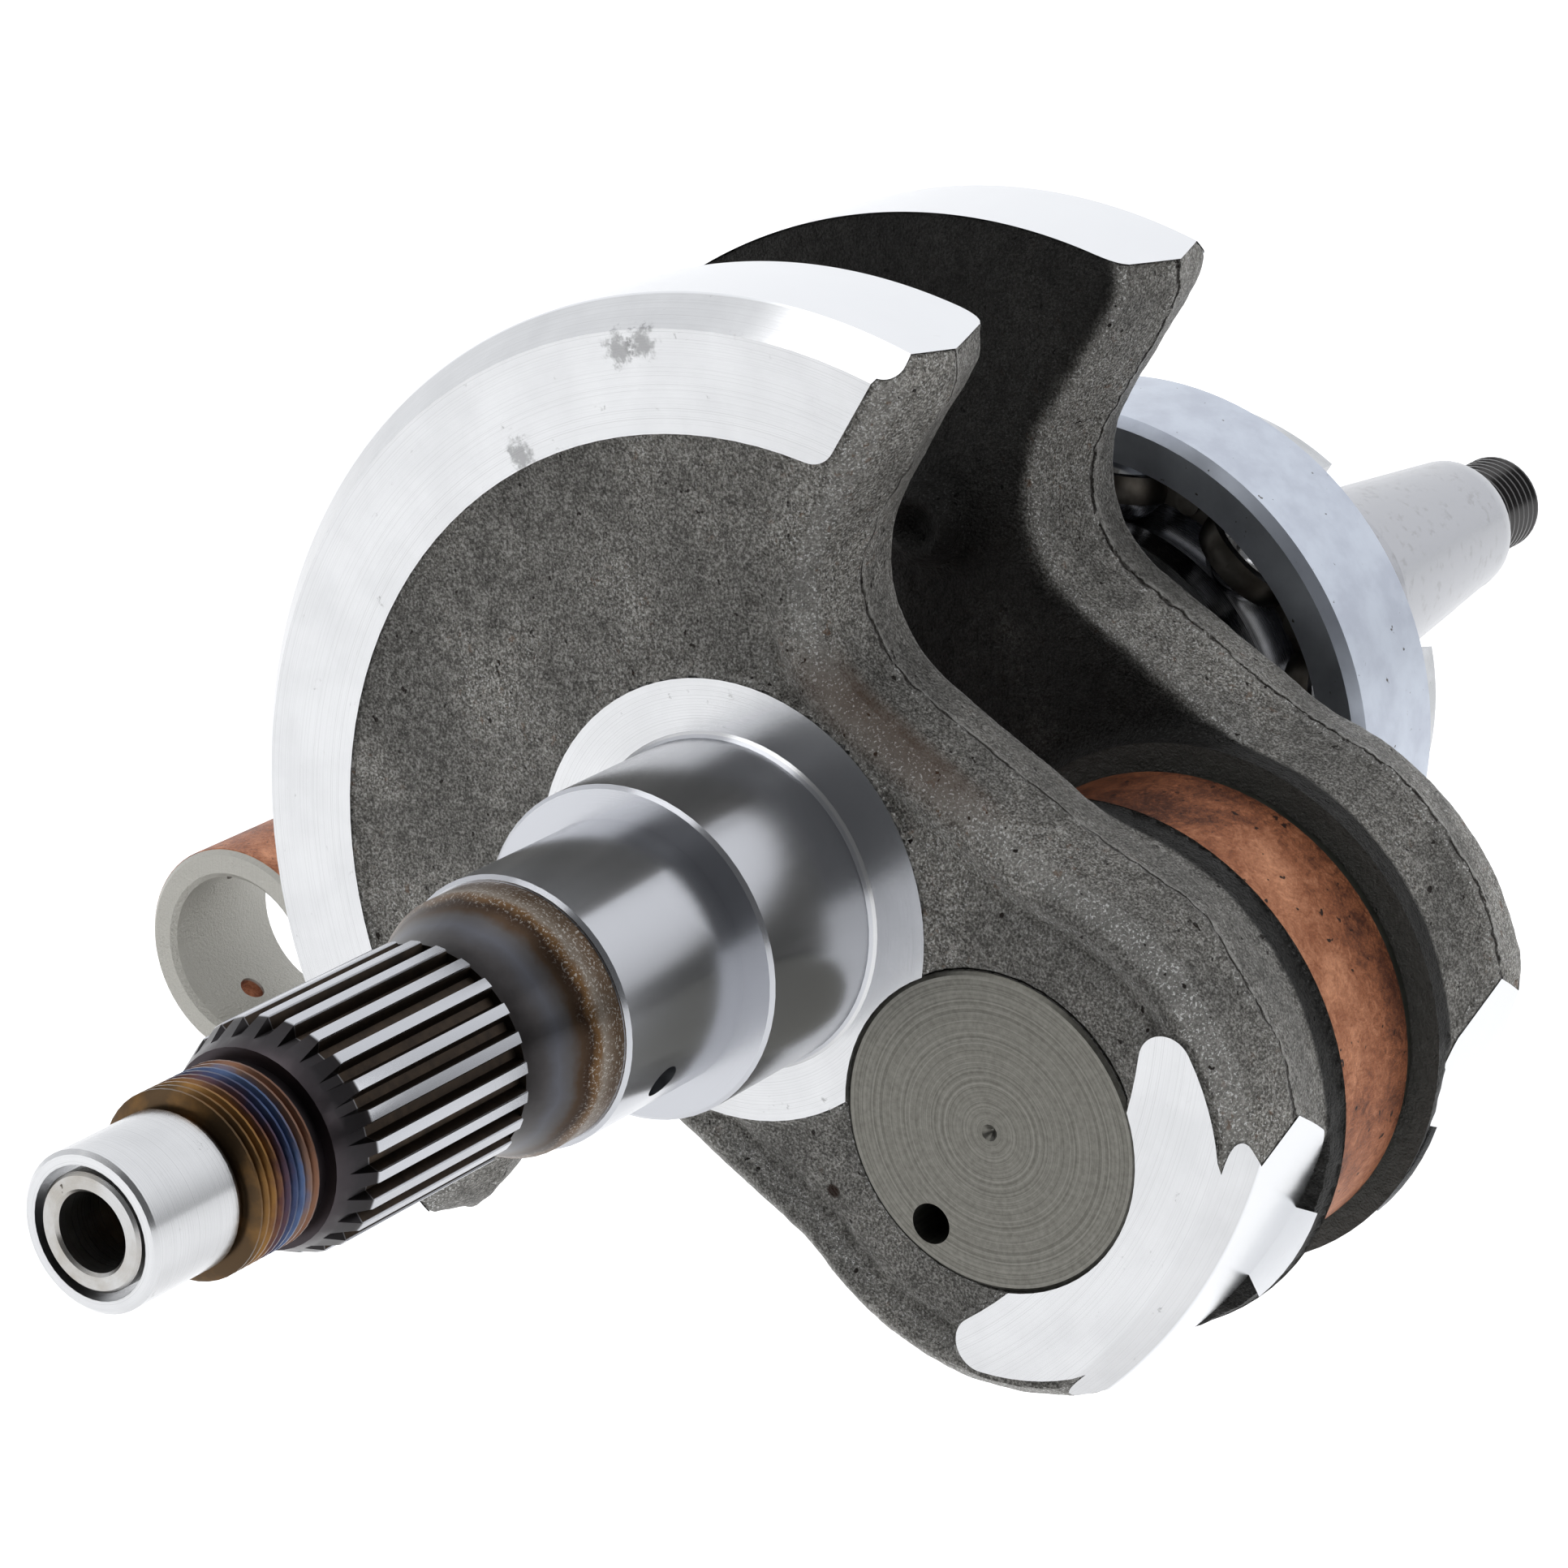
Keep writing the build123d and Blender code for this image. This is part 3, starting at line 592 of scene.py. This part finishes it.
def shapeSkin(skin, side, faceX, innerFaceX):
    spots = readSkin(skin, "co") * mm
    radius = np.hypot(spots[:, 1], spots[:, 2])
    out = (spots[:, 0] - faceX) * side
    turned = (out > -0.35) | ((radius > 62.1) & (out > -18.8)) | (radius - chamferRadius(out) > -0.4)
    turned |= (pinDistance(spots) < 17.6) | (out < -18.4 - padReach)
    free = ~turned
    roundEdges(skin, spots, free)
    writeSkin(skin, spots)
    normals = readSkin(skin, "normal")
    lift = forgedLift(spots, normals, side, faceX, innerFaceX)
    spots[free] += normals[free] * lift[free, None]
    sinkSkin(spots, side, faceX, innerFaceX)
    writeSkin(skin, spots)
    return skin


def roundRim(whole, side, faceX):
    # the rim and its chamfer are cut into short facets, so that the skin stays below them
    def placeOf(vertex):
        radius = math.hypot(vertex.co.y, vertex.co.z) * mm
        out = (vertex.co.x * mm - faceX) * side
        return radius, out, min(webSizes["rimRadius"], chamferRadius(out))

    def onRim(vertex):
        radius, out, limit = placeOf(vertex)
        return radius > 58.5 and out > -18.75 and abs(radius - limit) < 0.06

    rim = [face for face in whole.faces if all(onRim(vertex) for vertex in face.verts)]
    long = {edge for face in rim for edge in face.edges if edge.calc_length() * mm > 2.2}
    bmesh.ops.subdivide_edges(whole, edges=list(long), cuts=4, use_grid_fill=True)
    for vertex in whole.verts:
        radius, out, limit = placeOf(vertex)
        if radius > 58.5 and limit - 0.45 < radius < limit + 0.02 and -18.72 < out < -0.001:
            vertex.co.y *= limit / radius
            vertex.co.z *= limit / radius


def reforge(nodeName, pieceName, materials, side, faceX, innerFaceX):
    source = nodes[nodeName]
    skin = shapeSkin(skinOf(source, side, faceX), side, faceX, innerFaceX)
    whole = bmesh.new()
    whole.from_mesh(source.data)
    bmesh.ops.remove_doubles(whole, verts=whole.verts, dist=1e-7)
    raw = [face for face in whole.faces if not turnedFace(face, side, faceX)]
    bmesh.ops.delete(whole, geom=raw, context="FACES")
    roundRim(whole, side, faceX)
    for face in whole.faces:
        face.material_index = 1  # turned; the skin comes in with index 0
    kept = len(whole.faces)
    whole.from_mesh(skin)
    for face in whole.faces:
        face.smooth = True
    mesh = bpy.data.meshes.new(pieceName)
    whole.to_mesh(mesh)
    whole.free()
    if "custom_normal" in mesh.attributes:
        mesh.attributes.remove(mesh.attributes["custom_normal"])
    mesh.set_sharp_from_angle(angle=math.radians(34))
    seam = mesh.attributes.new("fromSeam", "FLOAT", "POINT")
    parting = (faceX + innerFaceX) / 2
    seam.data.foreach_set("value", [seamOffset(vertex.co * mm, parting) for vertex in mesh.vertices])
    for material in materials:
        mesh.materials.append(material)
    piece = bpy.data.objects.new(pieceName, mesh)
    bpy.context.scene.collection.objects.link(piece)
    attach(piece, "crank")
    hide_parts(nodeName)
    print(pieceName, "skin points:", len(skin.vertices), "turned faces kept:", kept)
    return piece


# drive shaft: heat-tinted thread, spline and neck, from the tip inwards
shaftFinish = {
    "journalStart": outerX - 37.0,
    "splineEnd": outerX - 49.9,
    "splineStart": outerX - 72.3,
    "threadStart": outerX - 86.8,
    "toothTop": 11.28,      # radius above which the spline is bright
    "flankBlack": (0.012, 0.012, 0.013),
    "flankBrown": (0.07, 0.05, 0.035),
    "salt": (0.42, 0.40, 0.37),
    "threadTints": [
        (0.0, (0.070, 0.045, 0.025)), (0.09, (0.20, 0.105, 0.035)), (0.17, (0.085, 0.040, 0.035)),
        (0.26, (0.035, 0.042, 0.085)), (0.34, (0.060, 0.090, 0.17)), (0.42, (0.15, 0.095, 0.075)),
        (0.50, (0.16, 0.080, 0.050)), (0.60, (0.060, 0.050, 0.055)), (0.8, (0.030, 0.028, 0.030)),
        (1.0, (0.020, 0.018, 0.018)),
    ],
    "neckTints": [
        (0.0, (0.020, 0.018, 0.018)), (0.16, (0.050, 0.047, 0.048)), (0.34, (0.078, 0.080, 0.092)),
        (0.50, (0.068, 0.064, 0.064)), (0.60, (0.050, 0.033, 0.022)), (0.70, (0.030, 0.018, 0.012)),
        (0.78, (0.11, 0.062, 0.028)), (0.86, (0.17, 0.145, 0.12)), (1.0, (0.085, 0.055, 0.034)),
    ],
}

# rotor shaft: dull taper, key slot painted black as shade in its recess, and stub thread
rotorFinish = {
    "stub": (0.035, 0.033, 0.032),
    "slot": (0.03, 0.03, 0.03),
    "tarnish": (0.16, 0.15, 0.14),
    "taper": (0.20, 0.20, 0.21),
    "taperFrom": 20.0,
    "taperTo": 82.0,
}


def driveShaftLook(tree, spots, color, rough):
    look, x, point = shaftFinish, spots["x"], spots["point"]

    # the tints wander a little along the thread
    along = rise(tree, x, look["threadStart"] - 1.0, look["splineStart"] + 3.0)
    along = plus(tree, along, times(tree, minus(tree, grain(tree, point, 0.25), 0.5), 0.22))
    thread = band(tree, x, look["threadStart"] - 0.3, look["splineStart"] - 0.2, 0.15)
    color = blendColor(tree, thread, color, ramp(tree, along, look["threadTints"]))
    rough = blendValue(tree, thread, rough, 0.32)

    # bright tooth tops, black flanks
    spline = band(tree, x, look["splineStart"] - 0.2, look["splineEnd"] + 0.4, 0.1)
    flank = both(tree, spline, fall(tree, spots["radius"], look["toothTop"], look["toothTop"] + 0.12))
    black = blendColor(tree, grain(tree, point, 0.8), look["flankBlack"], look["flankBrown"])
    color = blendColor(tree, flank, color, black)
    rough = blendValue(tree, flank, rough, 0.45)

    # neck behind the spline, with a salty collar
    neck = rise(tree, x, look["splineEnd"] + 0.3, look["journalStart"] - 0.3)
    neck = plus(tree, neck, times(tree, minus(tree, grain(tree, point, 0.3), 0.5), 0.2))
    neckTint = ramp(tree, neck, look["neckTints"])
    salt = rise(tree, grain(tree, point, 3.4, 3.0, 0.7), 0.54, 0.64)
    salt = both(tree, salt, rise(tree, neck, 0.62, 0.8))
    neckTint = blendColor(tree, times(tree, salt, 0.7), neckTint, look["salt"])
    neckZone = band(tree, x, look["splineEnd"] + 0.4, look["journalStart"] - 0.05, 0.05)
    color = blendColor(tree, neckZone, color, neckTint)
    return color, blendValue(tree, neckZone, rough, 0.36)


def rotorShaftLook(tree, spots, color, rough):
    look, x = rotorFinish, spots["x"]
    stub = rise(tree, x, 82.7, 83.2)
    color = blendColor(tree, times(tree, stub, 0.93), color, look["stub"])
    # painted shade inside the key slot
    slot = fall(tree, plus(tree, spots["radius"], times(tree, x, 0.1)), 16.35, 16.6)
    slot = both(tree, slot, band(tree, x, 68.0, 81.5, 0.3))
    color = blendColor(tree, slot, color, look["slot"])
    taper = band(tree, x, look["taperFrom"], look["taperTo"], 2.0)
    tarnish = both(tree, rise(tree, grain(tree, spots["point"], 0.5, 4.0, 0.7), 0.54, 0.66), taper)
    color = blendColor(tree, times(tree, tarnish, 0.28), color, look["tarnish"])
    color = blendColor(tree, times(tree, taper, 0.34), color, look["taper"])
    return color, rough


def forgedMaterial(name):
    material = newMaterial(name)
    tree = material.node_tree
    spots = frameSpots(tree)
    color, rough, height = forgedLook(tree, spots)
    normal = bump(tree, height, 1.0, 0.00055)
    return finishSurface(material, color, rough, normal, 0.75, anisotropic=0.45, tangent=aroundAxis(tree, spots))


def turnedMaterial(name, driveSide):
    material = newMaterial(name)
    tree = material.node_tree
    spots = frameSpots(tree)
    x, radius = spots["x"], spots["radius"]
    forgedRough, height = forgedLook(tree, spots)[1:]
    color, rough, marks = groundLook(tree, spots)

    # journals are a little darker, the rims a little brighter
    journals = either(tree, band(tree, x, tipX - 1.0, outerX - 0.3, 0.05), band(tree, x, 30.0, 90.0, 0.5))
    journals = both(tree, band(tree, radius, 8.5, 17.9, 0.2), journals)
    color = blendColor(tree, times(tree, journals, 0.9), color, groundFinish["journal"])
    rim = rise(tree, radius, webSizes["rimRadius"] - 0.2, webSizes["rimRadius"] - 0.1)
    color = blendColor(tree, times(tree, rim, 0.8), color, groundFinish["rim"])
    if driveSide:
        color = smudged(tree, spots, color)

    # the washer pads between the webs are left raw, and their dark colour is painted shade between the webs
    pads = band(tree, x, innerX + 0.1, rotorInnerX - 0.1, 0.1)
    machined = minus(tree, 1.0, pads)
    rough = blendValue(tree, machined, forgedRough, rough)
    padShadedColor = blendColor(tree, grain(tree, spots["point"], 0.9), groundFinish["padShadeDark"], groundFinish["padShadeLight"])
    color = blendColor(tree, pads, color, padShadedColor)
    shaftLook = driveShaftLook if driveSide else rotorShaftLook
    color, rough = shaftLook(tree, spots, color, rough)

    normal = addNode(tree, "ShaderNodeMix", data_type="VECTOR")
    feed(tree, normal.inputs["Factor"], machined)
    feed(tree, normal.inputs[4], bump(tree, height, 1.0, 0.00055))
    feed(tree, normal.inputs[5], bump(tree, marks, 0.12, 0.00002))
    metallic = blendValue(tree, machined, 0.75, 1.0)
    return finishSurface(material, color, rough, normal.outputs[1], metallic,
                         anisotropic=0.45, tangent=aroundAxis(tree, spots))


def dress(nodeName, material):
    piece = nodes[nodeName]
    piece.data.materials.clear()
    piece.data.materials.append(material)


driveLooks = [forgedMaterial("driveHalfForged"), turnedMaterial("driveHalfTurned", True)]
rotorLooks = [forgedMaterial("rotorHalfForged"), turnedMaterial("rotorHalfTurned", False)]
reforge("drive_side_crank_half", "driveCrankHalf", driveLooks, -1, outerX, innerX)
reforge("rotor_side_crank_half", "rotorCrankHalf", rotorLooks, 1, rotorOuterX, rotorInnerX)
print("crank halves dressed")

# crankpin and its plug: turned end faces
pinFinish = {"color": (0.095, 0.092, 0.080), "bright": (0.20, 0.195, 0.175), "roughness": 0.36}


def pinMaterial():
    material = newMaterial("turnedPinSteel")
    tree = material.node_tree
    spots = frameSpots(tree, (pinCentre.y, pinCentre.z))
    rings = lines(tree, spots["radius"], 2.6, 4.0, 0.75)
    speck = grain(tree, spots["point"], 1.6, 3.0, 0.7)
    tone = plus(tree, times(tree, rings, 0.6), times(tree, speck, 0.4))
    color = blendColor(tree, rise(tree, tone, 0.3, 0.72), pinFinish["color"], pinFinish["bright"])
    rough = blendValue(tree, speck, pinFinish["roughness"] - 0.08, pinFinish["roughness"] + 0.14)
    normal = bump(tree, plus(tree, rings, times(tree, speck, 0.4)), 0.35, 0.00006)
    return finishSurface(material, color, rough, normal, 0.95)


pinSteel = pinMaterial()
dress("crankpin", pinSteel)
dress("crankpin_oil_plug", pinSteel)

# connecting rod: copper flash on the forging, machined eyes
rodFinish = {
    "soot": (0.030, 0.016, 0.012),
    "copper": (0.30, 0.110, 0.052),
    "brown": (0.115, 0.042, 0.024),
    "glow": (0.62, 0.30, 0.17),
    "steel": (0.50, 0.49, 0.45),
    "steelDull": (0.36, 0.35, 0.32),
    "halfWidth": 8.75,
    "bigBore": 21.2,
    "smallBore": 9.7,
}


def rodMaterial():
    look = rodFinish
    material = newMaterial("copperedRodSteel")
    tree = material.node_tree
    spots = frameSpots(tree, (pinCentre.y, pinCentre.z))
    eye = frameSpots(tree, (smallEnd.y, smallEnd.z))
    point = spots["point"]
    cloud = grain(tree, point, 0.055, 4.0, 0.6, 0.5)
    grit = grain(tree, point, 2.6, 4.0, 0.75)
    streak = grain(tree, point, 0.45, 4.0, 0.7, 1.2)
    tone = plus(tree, times(tree, cloud, 0.52), times(tree, plus(tree, grit, streak), 0.24))
    tones = [(0.34, look["soot"]), (0.43, look["brown"]), (0.51, look["copper"]), (0.64, look["glow"])]
    color = ramp(tree, tone, tones)
    sootSpecks = rise(tree, grain(tree, point, 0.8, 2.0, 0.5), 0.68, 0.72)
    color = blendColor(tree, sootSpecks, color, look["soot"])

    # the side faces and both bores are bare steel
    fromMiddle = calc(tree, "ABSOLUTE", minus(tree, spots["x"], pinCentre.x * mm))
    sideFace = rise(tree, fromMiddle, look["halfWidth"] - 0.55, look["halfWidth"] - 0.45)
    bigBore = fall(tree, spots["radius"], look["bigBore"], look["bigBore"] + 0.3)
    smallBore = fall(tree, eye["radius"], look["smallBore"], look["smallBore"] + 0.3)
    bare = either(tree, sideFace, either(tree, bigBore, smallBore))
    marks = lines(tree, plus(tree, spots["radius"], spots["x"]), 6.0)
    color = blendColor(tree, bare, color, blendColor(tree, marks, look["steel"], look["steelDull"]))
    rough = blendValue(tree, bare, blendValue(tree, grit, 0.34, 0.60), 0.3)
    normal = bump(tree, plus(tree, grit, times(tree, cloud, 2.0)), 0.8, 0.00030)
    return finishSurface(material, color, rough, normal, 0.92)


dress("connecting_rod", rodMaterial())

# plain machined pieces
washerSteel = {"color": (0.20, 0.21, 0.18), "dull": (0.13, 0.14, 0.12), "roughness": 0.36}
# cage colours are darkened as painted shade inside the bearing
shadedCageSteel = {"color": (0.13, 0.12, 0.105), "dull": (0.07, 0.06, 0.05), "roughness": 0.34}
steelPieces = {
    "oil_feed_bush": {"color": (0.50, 0.50, 0.50), "dull": (0.36, 0.34, 0.31), "roughness": 0.26},
    "drive_side_thrust_washer": washerSteel,
    "rotor_side_thrust_washer": washerSteel,
    "main_bearing_outer_ring": {"color": (0.50, 0.54, 0.61), "dull": (0.42, 0.45, 0.52), "roughness": 0.3},
    # inner ring, cages and rivets are painted dark as shade inside the bearing
    "main_bearing_inner_ring": {"color": (0.22, 0.22, 0.23), "dull": (0.12, 0.12, 0.12), "roughness": 0.24},
    "main_bearing_balls": {"color": (0.70, 0.71, 0.73), "dull": (0.62, 0.63, 0.65), "roughness": 0.06},
    "main_bearing_cage_inboard": shadedCageSteel,
    "main_bearing_cage_outboard": shadedCageSteel,
    "main_bearing_cage_rivets": {"color": (0.16, 0.15, 0.13), "dull": (0.09, 0.08, 0.07), "roughness": 0.3},
    "lugged_drive_flange": {"color": (0.56, 0.57, 0.59), "dull": (0.44, 0.45, 0.46), "roughness": 0.26},
    "big_end_cage": {"color": (0.58, 0.55, 0.50), "dull": (0.42, 0.40, 0.36), "roughness": 0.3},
    "big_end_rollers": {"color": (0.66, 0.67, 0.69), "dull": (0.58, 0.59, 0.61), "roughness": 0.12},
}
speckColor = (0.08, 0.07, 0.06)


def steelMaterial(nodeName, look):
    material = newMaterial(nodeName + "Steel")
    tree = material.node_tree
    spots = frameSpots(tree)
    marks = lines(tree, plus(tree, spots["radius"], spots["x"]), 7.0)
    cloud = grain(tree, spots["point"], 0.2, 5.0, 0.6)
    color = blendColor(tree, rise(tree, cloud, 0.32, 0.7), look["color"], look["dull"])
    specks = rise(tree, grain(tree, spots["point"], 1.1, 2.0, 0.5), 0.72, 0.78)
    color = blendColor(tree, specks, color, speckColor)
    rough = blendValue(tree, marks, look["roughness"] - 0.05, look["roughness"] + 0.12)
    return finishSurface(material, color, rough, bump(tree, marks, 0.15, 0.00002))


for nodeName, look in steelPieces.items():
    dress(nodeName, steelMaterial(nodeName, look))
print("small pieces dressed")

# floor and sky
stageLook = {
    "floorDrop": 0.11,      # floor below the part, in metres
    "floorSize": 40.0,
    "floor": (0.93, 0.93, 0.93),
    "floorGrain": (0.90, 0.90, 0.90),
    "glow": 0.50,
    "sky": (0.97, 0.98, 1.0),
    "skyBright": 1.20,
    "skyDim": 0.16,
    "skyBrightSide": (0.72, 0.38, 0.50),
}
half = stageLook["floorSize"] / 2
floorZ = cadBox[0].z - stageLook["floorDrop"]
floorCorners = [(-half, -half, floorZ), (half, -half, floorZ), (half, half, floorZ), (-half, half, floorZ)]
floorMesh = bpy.data.meshes.new("floor")
floorMesh.from_pydata(floorCorners, [], [(0, 1, 2, 3)])
floor = bpy.data.objects.new("floor", floorMesh)
bpy.context.scene.collection.objects.link(floor)
floorPaint = newMaterial("palePaper")
floorTree = floorPaint.node_tree
floorGrain = grain(floorTree, frameSpots(floorTree)["point"], 0.02)
paper = blendColor(floorTree, floorGrain, stageLook["floor"], stageLook["floorGrain"])
finishSurface(floorPaint, paper, 0.7, metallic=0.0, glow=stageLook["glow"])
floorMesh.materials.append(floorPaint)

world = bpy.data.worlds.new("studio")
bpy.context.scene.world = world
world.use_nodes = True
sky = world.node_tree
skySpot = addNode(sky, "ShaderNodeTexCoord")
brightSide = Vector(stageLook["skyBrightSide"]).normalized()
skyGlow = rise(sky, distanceAlong(sky, skySpot.outputs["Generated"], brightSide), -0.15, 0.70)
skyStrength = blendValue(sky, skyGlow, stageLook["skyDim"], stageLook["skyBright"])
feed(sky, sky.nodes["Background"].inputs[0], stageLook["sky"])
feed(sky, sky.nodes["Background"].inputs[1], skyStrength)

# soft lights, all turned to the middle of the part
middle = Vector((-0.045, -0.01, 0.0))
softboxes = {
    "topSoftbox": {"place": (-0.30, 0.10, 0.70), "size": (0.5, 0.4), "power": 1.1},
    "leftSoftbox": {"place": (-0.70, 0.55, 0.25), "size": (0.3, 0.6), "power": 0.9},
    "rightSoftbox": {"place": (0.10, -0.85, 0.45), "size": (0.3, 0.5), "power": 0.7},
}
for boxName, box in softboxes.items():
    lamp = bpy.data.lights.new(boxName, "AREA")
    lamp.shape = "RECTANGLE"
    lamp.size, lamp.size_y = box["size"]
    lamp.energy = box["power"]
    lampObject = bpy.data.objects.new(boxName, lamp)
    lampObject.location = box["place"]
    lampObject.rotation_euler = (middle - lampObject.location).to_track_quat("-Z", "Y").to_euler()
    bpy.context.scene.collection.objects.link(lampObject)

cameraSet = {
    "azimuth": -56.253,
    "elevation": 19.371,
    "distance": 0.56,
    "lens": 122.67,
    "aim": (-0.0592, 0.0057, 0.0061),
}
azimuth, elevation = math.radians(cameraSet["azimuth"]), math.radians(cameraSet["elevation"])
back = Vector((
    math.sin(azimuth) * math.cos(elevation),
    -math.cos(azimuth) * math.cos(elevation),
    math.sin(elevation),
))
camera = bpy.data.cameras.new("camera")
camera.lens = cameraSet["lens"]
camera.sensor_width = 36.0
cameraObject = bpy.data.objects.new("camera", camera)
cameraObject.location = Vector(cameraSet["aim"]) + back * cameraSet["distance"]
cameraObject.rotation_euler = back.to_track_quat("Z", "Y").to_euler()
bpy.context.scene.collection.objects.link(cameraObject)
bpy.context.scene.camera = cameraObject
bpy.context.scene.view_settings.view_transform = "Standard"
print("stage, lights and camera set")
